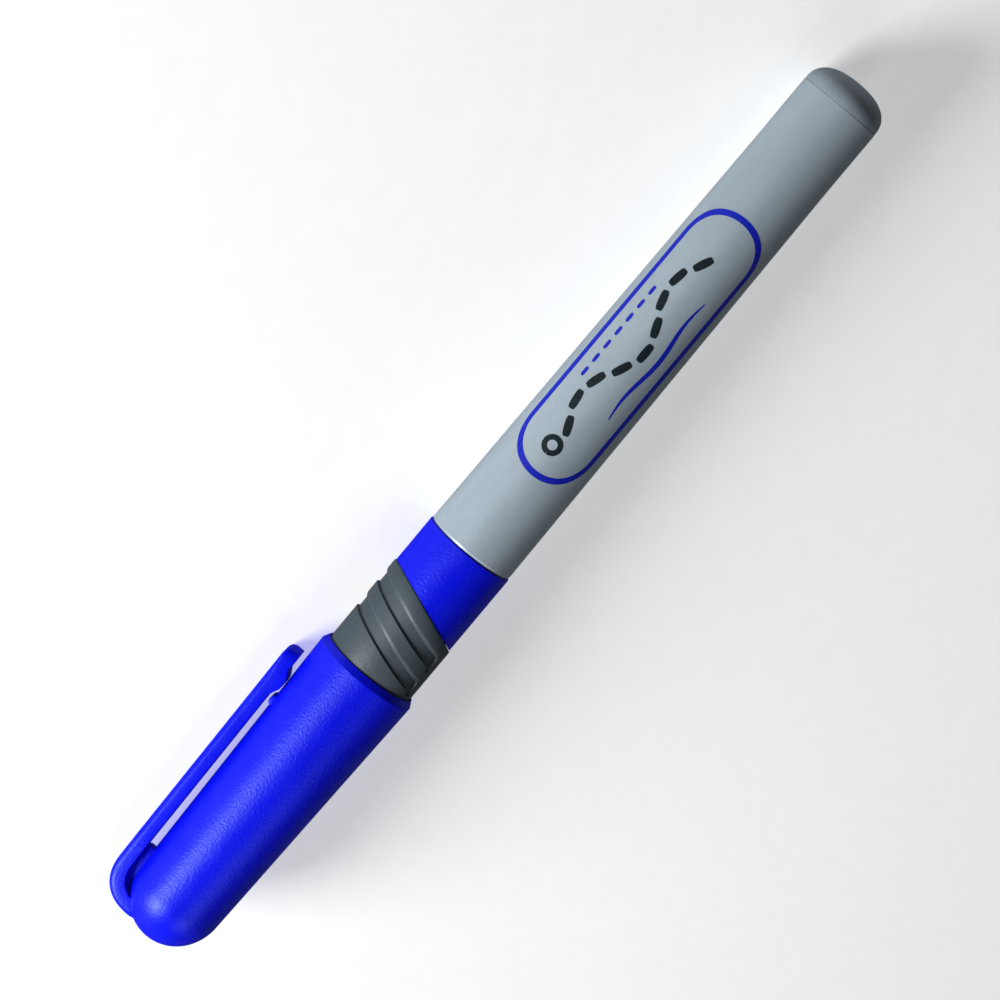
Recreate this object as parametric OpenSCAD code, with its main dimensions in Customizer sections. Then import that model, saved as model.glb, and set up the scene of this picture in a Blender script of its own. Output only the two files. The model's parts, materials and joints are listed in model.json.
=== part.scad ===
// Capped fabric marking pen.
// The pen lies on a table along X: the writing end points to +X, the tail to -X.
// Stations run along the pen's axis in millimetres, from 0 at the tail to pen_len at the cap's end.
// Every module draws round the Z axis, with the station as Z and the clip towards +X, and lay_down() places it.

/* [Pen] */
// Length of the capped pen
pen_len = 137; // [136.5:0.5:138]

/* [Barrel] */
// Diameter of the barrel at its front edge
barrel_front_d = 12; // [11.9:0.02:12.1]
// Diameter of the straight stretch at the tail, where a cap can be pushed on
barrel_tail_d = 10.86; // [10.8:0.02:10.96]
// Wall thickness of the barrel
barrel_wall = 0.95; // [0.9:0.01:1]
// Station of the barrel's front edge
barrel_front = 73.3; // [73:0.1:74]
// Length of the straight stretch at the tail
post_len = 9; // [8:0.5:12]
// Ribs inside the barrel that centre the ink reservoir
barrel_ribs = 6; // [3:1:8]

/* [Tail plug] */
// Length of the rounded tail outside the barrel
tail_len = 3.55; // [3.4:0.05:4]
// Length of the plug's spigot inside the barrel
tail_spigot = 6; // [5:0.5:7]

/* [Front section] */
// Diameter of the coloured collar
collar_d = 12.24; // [12.16:0.02:12.32]
// Diameter under the grip sleeve
grip_seat_d = 10.6; // [10.4:0.1:10.8]
// Diameter that the cap slides on
cap_seat_d = 10.76; // [10.7:0.02:10.8]
// Diameter of the nose that the cap's liner seals on
nose_d = 6.6; // [6.5:0.05:6.7]
// Station of the nose's front face
nose_front = 122; // [121.5:0.1:122.5]

/* [Grip sleeve] */
// Diameter of the grip sleeve
grip_d = 12.52; // [12.46:0.02:12.56]
// Station of the sleeve's front end
grip_front = 96; // [95.5:0.1:96]
// Station where the sleeve's slanted rear edge crosses the axis
grip_rear = 82.6; // [82:0.05:83]
// Slant of the rear edge
grip_slant = 22; // [15:0.5:22]
// Turn of that slant from the clip towards the label
slant_turn = 24; // [0:1:30]
// Slanted grooves
groove_count = 2; // [0:1:2]
// Slant of the grooves
groove_slant = 19; // [15:0.5:21]
// Turn of the grooves' slant from the clip towards the label
groove_turn = 8; // [0:1:20]
// Width of a groove
groove_w = 1.6; // [1:0.1:1.8]
// Depth of a groove
groove_depth = 0.25; // [0.1:0.05:0.4]
// Distance between grooves along the axis
groove_pitch = 3.9; // [3:0.1:3.9]
// Ungrooved part of the sleeve, opposite the clip, in degrees
groove_break = 66; // [30:2:90]
// Distance of the nearest groove from the sleeve's rear edge, along the axis
groove_start = 2.45; // [2.3:0.05:2.8]

/* [Nib and reservoir] */
// Diameter of the nib's rod
nib_d = 3.2; // [3:0.1:3.2]
// Length of the nib that stands out of the nose
nib_out = 5.6; // [5:0.1:5.6]
// Diameter of the nib's round point
nib_point_d = 1.1; // [0.8:0.1:1.4]
// Diameter of the ink reservoir over its film
reservoir_d = 8.14; // [8:0.02:8.14]
// Thickness of the reservoir's film
film_t = 0.12; // [0.08:0.01:0.2]

/* [Cap] */
// Diameter of the cap at its mouth
cap_mouth_d = 13.96; // [13.9:0.02:14]
// Diameter of the cap where its rounded end starts
cap_end_d = 12.2; // [12.1:0.02:12.3]
// Length of the cap from its mouth's outer edge
cap_len = 43.4; // [43:0.1:43.6]
// Length of the chamfered lip beyond that edge
lip_len = 0.9; // [0.7:0.1:1]
// Length of the cap's rounded end
cap_dome = 6.5; // [6.3:0.1:6.7]
// Wall thickness at the cap's end
cap_end_wall = 1.5; // [1.4:0.1:1.6]

/* [Clip] */
// Space between the clip and the cap
clip_gap = 0.92; // [0.9:0.01:1]
// Thickness of the clip
clip_t = 1.95; // [1.85:0.05:2]
// Width of the clip at its root
clip_root_w = 5; // [4.8:0.1:5.2]
// Width of the clip at its free end
clip_tip_w = 4.4; // [4:0.1:4.6]
// Width of the web under the clip's root
web_w = 2.2; // [2:0.1:2.6]
// Distance of the clip's free end from the cap's mouth
clip_end = 3.1; // [2.8:0.1:3.3]
// Reach of the clip's root over the cap's rounded end
clip_wrap = 5.7; // [5.5:0.1:5.8]
// Length of the clip's free arm
clip_arm = 30.7; // [30.3:0.1:31]
// Lean of the arm towards the cap, in degrees, so that the gap narrows to the free end
clip_lean = 0.45; // [0.3:0.05:0.5]

/* [Hidden] */
$fn = 96;
fit_gap = 0.03;   // between parts that are pressed together
run_gap = 0.06;   // radial clearance where a part slides or turns
lay_gap = 0.02;   // height of the clip's edge above the table

barrel_front_r = barrel_front_d / 2;
barrel_tail_r = barrel_tail_d / 2;
barrel_bore_r = barrel_front_r - barrel_wall;
collar_r = collar_d / 2;
grip_seat_r = grip_seat_d / 2;
grip_r = grip_d / 2;
cap_seat_r = cap_seat_d / 2;
nose_r = nose_d / 2;
nib_r = nib_d / 2;
nib_point_r = nib_point_d / 2;
reservoir_r = reservoir_d / 2;
cap_mouth_r = cap_mouth_d / 2;
cap_end_r = cap_end_d / 2;

section_rear = barrel_front - 12.7;          // the spigot's rear end, inside the barrel
seat_front = nose_front - 15.5;              // front end of the stretch that the cap slides on
nose_rear = nose_front - 11;                 // where the nose starts
nose_taper = nose_front - 4.5;               // where the nose narrows towards the nib
nib_socket = nose_front - 9;                 // rear end of the bore that grips the nib
snap_bead = grip_front + 3.5;                // middle of the bead that holds the cap
spigot_r = barrel_bore_r - fit_gap;
plug_bore_r = barrel_tail_r - 0.9;           // the barrel's bore for the plug
plug_r = plug_bore_r - fit_gap;
plug_front = tail_len + tail_spigot;
plug_face = plug_front + 0.3;                // the plug's ribs hold the reservoir here, past the spigot
reservoir_rear = plug_face + fit_gap;
flange_front = grip_front + 0.9;             // flange that keeps the grip sleeve in place
shoulder = grip_front + 0.5;                 // step inside the section that the reservoir meets
reservoir_front = shoulder - fit_gap;
nib_rear = reservoir_front - 7.2;
nib_tip = nose_front + nib_out;
cap_mouth = pen_len - cap_len;
dome_start = pen_len - cap_dome;
cap_draft = (cap_mouth_r - cap_end_r) / (dome_start - cap_mouth);
draft_angle = atan(cap_draft);
liner_rear = nose_rear - 0.5;                // open end of the liner
liner_seat = nose_front - 4.4;               // where the cap's bore narrows to hold the liner
liner_front = pen_len - 4;                   // closed end of the liner
liner_r = 4.74;                              // radius of the liner in that seat
clip_free = cap_mouth + clip_end;            // station of the clip's free end
clip_root = clip_free + clip_arm;            // station of the clip's bending axis
clip_axis_r = cap_radius(clip_root) + clip_gap + clip_t / 2;
clip_tip_round = 1.1;                        // rounding of the free end's outer corner
arm_angle = draft_angle - clip_lean;         // the arm's slope away from the axis, towards the free end
clip_reach = clip_axis_r + clip_t / 2 + (clip_arm - clip_tip_round) * tan(arm_angle);
// The pen rolls until the clip's edge meets the table, so the clip lies this far below level.
lay_angle = asin((cap_mouth_r - lay_gap) / norm([clip_reach, clip_tip_w / 2]))
    - atan2(clip_tip_w / 2, clip_reach);
// The clip makes the pen wider at the front, so the axis stands back from the middle of the whole width.
axis_y = (clip_reach * cos(lay_angle) + clip_tip_w / 2 * sin(lay_angle) - cap_mouth_r) / 2;

function cap_radius(station) = cap_mouth_r - (station - cap_mouth) * cap_draft;

// Points of a rounded end: from radius r at station z0 to the axis at z0 + length.
// A power of 2 gives an ellipse, and a larger one a squarer shoulder.
function rounded_end(r, z0, length, power, centre_r = 0, steps = 16) = [
    for (i = [0 : steps]) let (a = 90 * i / steps)
        [centre_r + (r - centre_r) * pow(cos(a), 2 / power), z0 + length * pow(sin(a), 2 / power)]
];

// From the lathe's frame to the row's frame: on the table, with the clip down and to the front.
module lay_down() {
    translate([-pen_len / 2, axis_y, cap_mouth_r])
        rotate([0, 90, 0])
            rotate([0, 0, lay_angle - 90])
                children();
}

module ring(r_in, r_out, z0, z1) {
    translate([0, 0, z0])
        difference() {
            cylinder(r = r_out, h = z1 - z0);
            translate([0, 0, -1])
                cylinder(r = r_in, h = z1 - z0 + 2);
        }
}

// Everything on the tail's side of the grip's slanted rear edge, moved along the edge's normal by shift.
module behind_slant(shift = 0) {
    slanted(grip_rear, grip_slant, slant_turn)
        translate([-20, -20, shift - 40])
            cube(40);
}

// Leans a level shape so that its clip side is nearer the tail, with the lean turned towards the label.
module slanted(station, lean, turn) {
    translate([0, 0, station])
        rotate([0, 0, -turn])
            rotate([0, lean, 0])
                children();
}

module barrel() {
    straight_end = tail_len + post_len;
    edge = 0.12;
    color("#a9b4bd")
        lay_down() {
            rotate_extrude()
                polygon([
                    [plug_bore_r, tail_len], [barrel_tail_r - edge, tail_len], [barrel_tail_r, tail_len + edge],
                    [barrel_tail_r, straight_end], [barrel_front_r, barrel_front - edge],
                    [barrel_front_r - edge, barrel_front], [barrel_bore_r, barrel_front],
                    [barrel_bore_r, section_rear - 1], [plug_bore_r, plug_front + 2]
                ]);
            for (i = [0 : barrel_ribs - 1])
                rotate([0, 0, 360 / barrel_ribs * (i + 0.5)])
                    barrel_rib();
        }
}

module barrel_rib() {
    rib_w = 0.8;
    sunk = 0.2;          // depth of its foot in the barrel's wall
    inner = reservoir_r + fit_gap;
    rotate([90, 0, 0])
        translate([0, 0, -rib_w / 2])
            linear_extrude(rib_w)
                polygon([
                    [inner, plug_front + 3], [plug_bore_r + sunk, plug_front + 2.2],
                    [barrel_bore_r + sunk, section_rear - 1], [barrel_bore_r + sunk, section_rear - 1.6],
                    [inner, section_rear - 2]
                ]);
}

module tail_plug() {
    spigot_wall = 0.9;
    bead = 0.02;         // height of the snap bead on the spigot
    groove = 0.1;        // width of the parting groove at the barrel
    rib_w = 0.8;
    rib_rear = 1.4;
    color("#a3aeb7")
        lay_down() {
            // The rounded tail and the hollow spigot with its snap bead
            rotate_extrude()
                polygon(concat(
                    [[plug_r - spigot_wall, tail_len - 0.6], [plug_r - spigot_wall, plug_front],
                        [plug_r - 0.3, plug_front], [plug_r, plug_front - 0.5],
                        [plug_r, tail_len + 3.4], [plug_r + bead, tail_len + 3], [plug_r, tail_len + 2.6],
                        [plug_r, tail_len - groove], [barrel_tail_r - groove, tail_len - groove]],
                    [for (p = rounded_end(barrel_tail_r, 0, tail_len - 2 * groove, 2.4))
                        [p[0], tail_len - 2 * groove - p[1]]],
                    [[0, tail_len - 1.8]]
                ));
            // Crossed ribs that hold the reservoir's rear end
            for (turn = [45, 135])
                rotate([0, 0, turn])
                    translate([-plug_r + 0.3, -rib_w / 2, rib_rear])
                        cube([2 * plug_r - 0.6, rib_w, plug_face - rib_rear]);
        }
}

module front_section() {
    edge = 0.12;
    channel_r = nib_r + 0.6;
    color("#1018c8")
        lay_down() {
            rotate_extrude()
                polygon([
                    [reservoir_r + fit_gap, section_rear], [spigot_r - 0.3, section_rear],
                    [spigot_r, section_rear + 0.6], [spigot_r, barrel_front + 0.5],
                    [grip_seat_r, barrel_front + 0.5], [grip_seat_r, grip_front + fit_gap],
                    [grip_seat_r + 0.45, grip_front + fit_gap], [grip_seat_r + 0.3, flange_front],
                    [cap_seat_r, flange_front + 0.1], [cap_seat_r, seat_front],
                    [nose_r, nose_rear], [nose_r, nose_taper], [nib_r + 0.75, nose_front - 0.2],
                    [nib_r + 0.55, nose_front], [nib_r + fit_gap, nose_front], [nib_r + fit_gap, nib_socket],
                    [channel_r, nib_socket - 0.6], [channel_r, shoulder], [reservoir_r + fit_gap, shoulder]
                ]);
            // The collar, cut off along the grip's slanted edge
            intersection() {
                rotate_extrude()
                    polygon([
                        [grip_seat_r - 0.4, barrel_front + fit_gap], [collar_r - edge, barrel_front + fit_gap],
                        [collar_r, barrel_front + fit_gap + edge], [collar_r, grip_front],
                        [grip_seat_r - 0.4, grip_front]
                    ]);
                behind_slant(-fit_gap);
            }
            // Snap bead that holds the cap
            ring(cap_seat_r - 0.1, cap_seat_r + 0.03, snap_bead - 0.3, snap_bead + 0.3);
        }
}

module grip_sleeve() {
    edge = 0.3;
    inner = grip_seat_r + fit_gap;
    color("#59636a")
        lay_down()
            difference() {
                rotate_extrude()
                    polygon([
                        [inner, grip_rear - 6], [grip_r, grip_rear - 6], [grip_r, grip_front - edge],
                        [grip_r - edge / 2, grip_front], [inner, grip_front]
                    ]);
                behind_slant();
                for (i = [1 : groove_count])
                    grip_groove(groove_start + groove_pitch * (i - 1));
            }
}

// One slanted groove, with its middle this far along the axis from the rear edge.
module grip_groove(from_edge) {
    difference() {
        slanted(grip_rear + from_edge, groove_slant, groove_turn)
            translate([-20, -20, -groove_w / 2])
                cube([40, 40, groove_w]);
        cylinder(r = grip_r - groove_depth, h = pen_len);
        // The part opposite the clip stays whole
        linear_extrude(pen_len)
            polygon([
                [0, 0],
                for (a = [180 - groove_break / 2, 180, 180 + groove_break / 2])
                    15 * [cos(a), sin(a)]
            ]);
    }
}

module nib() {
    cone_start = nose_front + 0.6;
    color("#16204f")
        lay_down()
            rotate_extrude()
                polygon(concat(
                    [[0, nib_rear], [nib_r - 0.3, nib_rear], [nib_r, nib_rear + 0.4], [nib_r, cone_start]],
                    rounded_end(nib_point_r, nib_tip - nib_point_r, nib_point_r, 2, steps = 8)
                ));
}

module reservoir_core() {
    color("#dfe2ea")
        lay_down()
            difference() {
                translate([0, 0, reservoir_rear])
                    cylinder(r = reservoir_r - film_t - 0.01, h = reservoir_front - reservoir_rear);
                translate([0, 0, nib_rear - 0.05])
                    cylinder(r = nib_r + 0.02, h = 20);
            }
}

module reservoir_film() {
    color("#eef2f5")
        lay_down()
            ring(reservoir_r - film_t, reservoir_r, reservoir_rear, reservoir_front);
}

module cap_shell() {
    mouth_bore_r = grip_r + 0.08;
    seat_bore_r = cap_seat_r + 0.08;
    liner_bore_r = liner_r + run_gap;
    liner_flange_r = liner_r + 0.31;
    lip_r = cap_mouth_r - 0.48;
    color("#0a12e0")
        lay_down() {
            difference() {
                union() {
                    rotate_extrude()
                        polygon(concat(
                            [[0, cap_mouth - lip_len], [lip_r, cap_mouth - lip_len], [cap_mouth_r, cap_mouth]],
                            rounded_end(cap_end_r, dome_start, cap_dome, 2.02)
                        ));
                    clip_root_block();
                    cap_ridge();
                }
                rotate_extrude()
                    polygon(concat(
                        [[0, grip_rear], [mouth_bore_r, grip_rear], [mouth_bore_r, flange_front + 0.4],
                            [seat_bore_r, flange_front + 1.3], [seat_bore_r, seat_front + 0.5],
                            [liner_flange_r, seat_front + 1.5], [liner_flange_r, liner_seat],
                            [liner_bore_r, liner_seat + 0.6]],
                        rounded_end(liner_bore_r, dome_start + 0.2, cap_dome - 0.2 - cap_end_wall, 2)
                    ));
                // Seat for the round root of the clip's arm
                clip_axis_cylinder(clip_t / 2 + 0.04);
            }
        }
}

module clip_axis_cylinder(r) {
    translate([clip_axis_r, 10, clip_root])
        rotate([90, 0, 0])
            cylinder(r = r, h = 20);
}

// Extrudes an outline of radius and station to a strap of this width, square to the clip's side.
module strap(width) {
    rotate([90, 0, 0])
        translate([0, 0, -width / 2])
            linear_extrude(width)
                children();
}

// The clip's root, which wraps round the shoulder of the cap's end, and the web under it.
module clip_root_block() {
    under = cap_radius(clip_root) + clip_gap;
    shoulder_r = cap_radius(dome_start) + clip_gap;
    foot_r = 3.3;
    outer = rounded_end(shoulder_r + clip_t, dome_start, clip_wrap, 2.4, centre_r = foot_r);
    inner = rounded_end(shoulder_r, dome_start, clip_wrap - clip_t, 2.4, centre_r = foot_r);
    strap(clip_root_w)
        polygon(concat(
            [[under, clip_root], [under + clip_t, clip_root]],
            outer,
            [[1, pen_len - 0.9], [1, dome_start + 3.2]],
            [for (i = [len(inner) - 1 : -1 : 0]) inner[i]]
        ));
    difference() {
        strap(web_w)
            polygon([
                [5.2, clip_root], [under + 0.2, clip_root], [under + 0.2, dome_start], [6.4, dome_start + 3],
                [3.4, dome_start + 4.4], [3.4, dome_start], [5.2, dome_start - 1]
            ]);
        // Round closed end of the gap under the clip
        translate([under - clip_gap / 2, 10, clip_root])
            rotate([90, 0, 0])
                cylinder(r = clip_gap / 2, h = 20);
    }
}

// Low ridge on the cap that grips cloth together with the clip's tooth.
module cap_ridge() {
    height = 0.45;
    half = 1.45 / 2;
    sunk = 0.6;          // depth of its foot in the cap's wall
    station = cap_mouth + 9.95;
    base = cap_radius(station);
    strap(3)
        polygon([
            [base - sunk, station - half], [base, station - half],
            for (a = [-60 : 20 : 60]) [base + height * cos(a), station + half * sin(a)],
            [base, station + half], [base - sunk, station + half]
        ]);
}

module cap_liner() {
    cup_r = 3.7;                // hollow round the nib
    cup_chamfer = 0.7;
    wall = 0.9;
    seal_r = nose_r + run_gap;  // bore that slides on the nose
    snap_r = liner_r + 0.2;     // bead that keeps the liner in the cap
    inside_end = liner_front - wall;
    color("#e8ecef")
        lay_down()
            rotate_extrude()
                polygon([
                    [seal_r + wall, liner_rear], [snap_r, liner_rear], [snap_r, liner_rear + 1.4],
                    [liner_r, liner_rear + 1.8], [liner_r, dome_start - 0.4], [3.9, liner_front],
                    [0, liner_front], [0, inside_end], [cup_r - cup_chamfer, inside_end],
                    [cup_r, inside_end - cup_chamfer],
                    [cup_r, liner_seat - 0.6], [seal_r, liner_seat - 1.2], [seal_r, liner_rear + 2]
                ]);
}

// The clip's free arm: round at the root, where it bends, with a tooth near its free end.
module cap_clip() {
    half = clip_t / 2;
    tooth = 0.65;        // height of the tooth, towards the cap
    tooth_at = -26.2;    // its place along the arm, from the bending axis
    color("#0a12e0")
        lay_down()
            translate([clip_axis_r, 0, clip_root])
                rotate([0, -arm_angle, 0])
                    intersection() {
                        strap(clip_root_w + 2)
                            polygon(concat(
                                [for (a = [180 : -15 : 0]) half * [cos(a), sin(a)]],
                                [for (a = [0 : 15 : 90])
                                    [half - clip_tip_round + clip_tip_round * cos(a),
                                        -clip_arm + clip_tip_round - clip_tip_round * sin(a)]],
                                [[-half + 0.1, -clip_arm], [-half, -clip_arm + 0.15],
                                    [-half, tooth_at - 1.4], [-half - tooth * 0.8, tooth_at - 1],
                                    [-half - tooth, tooth_at - 0.6], [-half - tooth, tooth_at + 0.4],
                                    [-half - tooth * 0.7, tooth_at + 1], [-half, tooth_at + 1.6]]
                            ));
                        clip_plan();
                    }
}

// The clip's outline as seen from outside: it narrows evenly towards the free end.
module clip_plan() {
    root = clip_root_w / 2;
    tip = clip_tip_w / 2;
    corner = 0.8;     // chamfers of the free end
    past = 0.2;       // how far the outline runs past the free end
    rotate([0, -90, 0])
        translate([0, 0, -clip_t])
            linear_extrude(2 * clip_t)
                polygon([
                    [clip_t, -root], [clip_t, root], [0, root], [-clip_arm + corner, tip],
                    [-clip_arm - past, tip - corner], [-clip_arm - past, corner - tip],
                    [-clip_arm + corner, -tip], [0, -root]
                ]);
}

barrel();
tail_plug();
front_section();
grip_sleeve();
nib();
reservoir_core();
reservoir_film();
cap_shell();
cap_liner();
cap_clip();
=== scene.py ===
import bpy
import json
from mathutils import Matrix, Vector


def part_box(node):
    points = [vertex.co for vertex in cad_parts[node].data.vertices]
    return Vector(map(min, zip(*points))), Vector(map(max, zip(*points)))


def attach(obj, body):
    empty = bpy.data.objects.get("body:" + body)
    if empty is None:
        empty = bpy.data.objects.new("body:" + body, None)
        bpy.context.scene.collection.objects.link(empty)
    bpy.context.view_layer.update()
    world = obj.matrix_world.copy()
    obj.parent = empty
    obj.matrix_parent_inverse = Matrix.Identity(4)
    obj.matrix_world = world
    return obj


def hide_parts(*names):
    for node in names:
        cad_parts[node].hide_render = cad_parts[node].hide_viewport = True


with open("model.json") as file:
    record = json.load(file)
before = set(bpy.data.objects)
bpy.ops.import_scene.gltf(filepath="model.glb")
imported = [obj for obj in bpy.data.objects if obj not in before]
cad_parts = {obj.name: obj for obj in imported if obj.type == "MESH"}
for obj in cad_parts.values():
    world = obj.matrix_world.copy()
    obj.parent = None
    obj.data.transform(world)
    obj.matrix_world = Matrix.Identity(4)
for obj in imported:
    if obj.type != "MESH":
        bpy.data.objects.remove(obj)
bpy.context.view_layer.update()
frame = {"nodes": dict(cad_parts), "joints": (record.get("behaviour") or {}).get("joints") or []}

import json
import math
from functools import partial

import bmesh
import bpy
from mathutils import Matrix, Vector

MM = 0.001
SEGMENTS = 240            # faces round a turned part

# ---------------------------------------------------------------- places, all from the frame
JOINTS = {joint["name"]: joint for joint in frame["joints"]}
AXIS_POINT = Vector(JOINTS["cap_turn"]["pos_m"])
CLIP_ROOT = Vector(JOINTS["clip_flex"]["pos_m"])
LABEL_SIDE = Vector(JOINTS["clip_flex"]["axis"]).normalized()
CLIP_SIDE = Vector((0, CLIP_ROOT.y - AXIS_POINT.y, CLIP_ROOT.z - AXIS_POINT.z)).normalized()
TAIL_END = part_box("tail_plug")[0].x
CAP_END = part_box("cap_shell")[1].x


def radius_of(node):
    """Half the height of a round CAD node, in metres."""
    low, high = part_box(node)
    return (high.z - low.z) / 2


BARREL_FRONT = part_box("barrel")[1].x
BARREL_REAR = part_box("barrel")[0].x
BARREL_R = radius_of("barrel")
TAIL_R = radius_of("tail_plug")
GRIP_R = radius_of("grip_sleeve")
GRIP_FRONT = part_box("grip_sleeve")[1].x
CAP_MOUTH_R = AXIS_POINT.z
CAP_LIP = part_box("cap_shell")[0].x
CAP_MOUTH = AXIS_POINT.x
CLIP_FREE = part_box("cap_clip")[0].x


def along(station):
    """The X of a station, in millimetres from the tail's end."""
    return TAIL_END + station * MM


STRAIGHT_END = along(12.55)            # where the barrel's straight tail stretch ends and its taper starts
CAP_END_R = 6.1 * MM                  # the cap's radius where its rounded end starts
DOME_START = CAP_END - 6.5 * MM
CLIP_WIDTH = (4.4 * MM, 5.0 * MM)      # at the free end and at the root
CLIP_THICK = 1.95 * MM
CLIP_GAP = 0.92 * MM
CLIP_ROOT_R = (CLIP_ROOT - AXIS_POINT).dot(CLIP_SIDE)
CLIP_LEAN = 0.45                       # degrees by which the free arm leans towards the cap


def cap_radius(x):
    """Radius of the cap's outside, which narrows evenly from its mouth to its rounded end."""
    return CAP_MOUTH_R + (CAP_END_R - CAP_MOUTH_R) * (x - CAP_MOUTH) / (DOME_START - CAP_MOUTH)


def shares(steps):
    """Even steps from 0 to 1, both ends included."""
    return [i / steps for i in range(steps + 1)]


def spot(x, radius, angle):
    """A point by its place along the pen, distance from the axis, and angle from the clip to the label."""
    out = CLIP_SIDE * math.cos(angle) + LABEL_SIDE * math.sin(angle)
    return Vector((x, AXIS_POINT.y, AXIS_POINT.z)) + out * radius


# ---------------------------------------------------------------- materials
def linear(hex_colour):
    """An sRGB hex colour as the linear values that a shader takes."""
    parts = [int(hex_colour[i:i + 2], 16) / 255 for i in (1, 3, 5)]
    return tuple(c / 12.92 if c <= 0.04045 else ((c + 0.055) / 1.055) ** 2.4 for c in parts) + (1.0,)


def node(tree, kind, links=None, **settings):
    """Adds a node; settings are its properties or its inputs' values, and links its inputs' sources."""
    made = tree.nodes.new(kind)
    for name, value in settings.items():
        if hasattr(made, name):
            setattr(made, name, value)
        else:
            made.inputs[name.replace("_", " ")].default_value = value
    for name, source in (links or {}).items():
        tree.links.new(source, made.inputs[name])
    return made


def shades_of(tree, factor, first, second, start=0.0, end=1.0):
    """A factor turned into a colour between two hex colours."""
    ramp = node(tree, "ShaderNodeValToRGB", links={"Fac": factor})
    low, high = ramp.color_ramp.elements
    low.position, high.position = start, end
    low.color, high.color = linear(first), linear(second)
    return ramp.outputs["Color"]


def roughen(tree, shader, height, depth_mm):
    """Bumps the surface by a height that is this deep."""
    bump = node(tree, "ShaderNodeBump", Strength=1.0, Distance=depth_mm * MM, links={"Height": height})
    tree.links.new(bump.outputs["Normal"], shader.inputs["Normal"])


def finish_named(name, roughness, ior, **shader_settings):
    """An empty material with its shader, and the object's own coordinates in millimetres."""
    material = bpy.data.materials.new(name)
    material.use_nodes = True
    tree = material.node_tree
    tree.nodes.clear()
    shader = node(tree, "ShaderNodeBsdfPrincipled", Roughness=roughness, IOR=ior)
    for socket, value in shader_settings.items():
        shader.inputs[socket.replace("_", " ")].default_value = value
    output = node(tree, "ShaderNodeOutputMaterial")
    tree.links.new(shader.outputs["BSDF"], output.inputs["Surface"])
    place = node(tree, "ShaderNodeTexCoord")
    mm = node(tree, "ShaderNodeVectorMath", operation="SCALE", Scale=1 / MM,
              links={"Vector": place.outputs["Object"]})
    return material, tree, shader, mm.outputs["Vector"]


def grained_plastic(name, colour, pale, deep, roughness, grain_mm, grain_depth_mm, scuff, **shader_settings):
    """Moulded plastic: spark-eroded grain, faint flow marks in the colour, and small scuffs."""
    material, tree, shader, mm = finish_named(name, roughness, 1.49, **shader_settings)
    # Flow marks: the melt runs along the part, so they are long in X
    stretch = node(tree, "ShaderNodeVectorMath", operation="MULTIPLY", links={"Vector": mm})
    stretch.inputs[1].default_value = (0.05, 0.22, 0.22)
    flow = node(tree, "ShaderNodeTexNoise", Scale=1.0, Detail=4.0, Roughness=0.55,
                links={"Vector": stretch.outputs["Vector"]})
    shades = shades_of(tree, flow.outputs["Fac"], deep, colour, 0.3, 0.7)
    grain = node(tree, "ShaderNodeTexNoise", Scale=1 / grain_mm, Detail=3.0, Roughness=0.6,
                 links={"Vector": mm})
    fleck = node(tree, "ShaderNodeMapRange", From_Min=0.52, From_Max=0.78, To_Max=0.35,
                 links={"Value": grain.outputs["Fac"]})
    mixed = node(tree, "ShaderNodeMix", data_type="RGBA", links={"Factor": fleck.outputs["Result"]})
    tree.links.new(shades, mixed.inputs["A"])
    mixed.inputs["B"].default_value = linear(pale)
    tree.links.new(mixed.outputs["Result"], shader.inputs["Base Color"])
    # Handling polishes some places and scuffs others
    worn = node(tree, "ShaderNodeTexNoise", Scale=0.35, Detail=6.0, Roughness=0.7, links={"Vector": mm})
    rough = node(tree, "ShaderNodeMapRange", From_Min=0.3, From_Max=0.7, To_Min=roughness - scuff,
                 To_Max=roughness + scuff, links={"Value": worn.outputs["Fac"]})
    tree.links.new(rough.outputs["Result"], shader.inputs["Roughness"])
    roughen(tree, shader, grain.outputs["Fac"], grain_depth_mm)
    return material


def blue_plastic(name, roughness, grain_mm, grain_depth_mm, scuff):
    """The strong even blue of the cap, the collar and the clip, with a slightly blue highlight."""
    return grained_plastic(name, "#020eee", "#0816f6", "#020adb", roughness, grain_mm, grain_depth_mm, scuff,
                           Specular_IOR_Level=0.36, Specular_Tint=(0.7, 0.92, 1.0, 1.0))


def blue_polypropylene():
    # Moulded polypropylene with a spark-eroded grain, so that its highlight breaks into specks.
    # The real grain is about 0.15 mm; it is drawn at 0.32 mm so that it shows.
    return blue_plastic("moulded_blue_polypropylene", 0.36, 0.32, 0.05, 0.05)


def smooth_blue_polypropylene():
    # The clip is the same plastic from a polished part of the mould: a finer grain, and crisper highlights.
    return blue_plastic("smooth_blue_polypropylene", 0.3, 0.3, 0.02, 0.04)


def grey_polypropylene():
    # Moulded polypropylene with a little silver pigment: cool grey with a soft, wide sheen.
    return grained_plastic("moulded_silver_grey_polypropylene", "#b1c0cb", "#bfccd6", "#a6b5c0", 0.4, 0.5,
                           0.012, 0.05, Metallic=0.15)


def shaded_tail_polypropylene():
    # The tail plug is the barrel's grey, painted a shade darker as painted shade for the pen's shaded tail
    # end, and a little rougher.
    return grained_plastic("moulded_tail_grey_polypropylene", "#a6b4bf", "#b4c1cb", "#9ba9b5", 0.44, 0.5,
                           0.012, 0.05, Metallic=0.15)


def natural_polyethylene():
    # Unpigmented moulded polyethylene: milky, so light goes a little way into it.
    return grained_plastic("natural_polyethylene", "#e6eaee", "#f2f4f6", "#dce1e6", 0.35, 0.6, 0.01, 0.05,
                           Subsurface_Weight=0.3, Subsurface_Scale=0.001)


def grip_elastomer():
    # Thermoplastic elastomer over-sleeve: slate grey and nearly matt, with skin marks and fine dust in it.
    return grained_plastic("matt_slate_elastomer", "#4a565e", "#5a6670", "#404b52", 0.46, 0.35, 0.03, 0.06,
                           Sheen_Weight=0.04, Sheen_Roughness=0.5)


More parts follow.
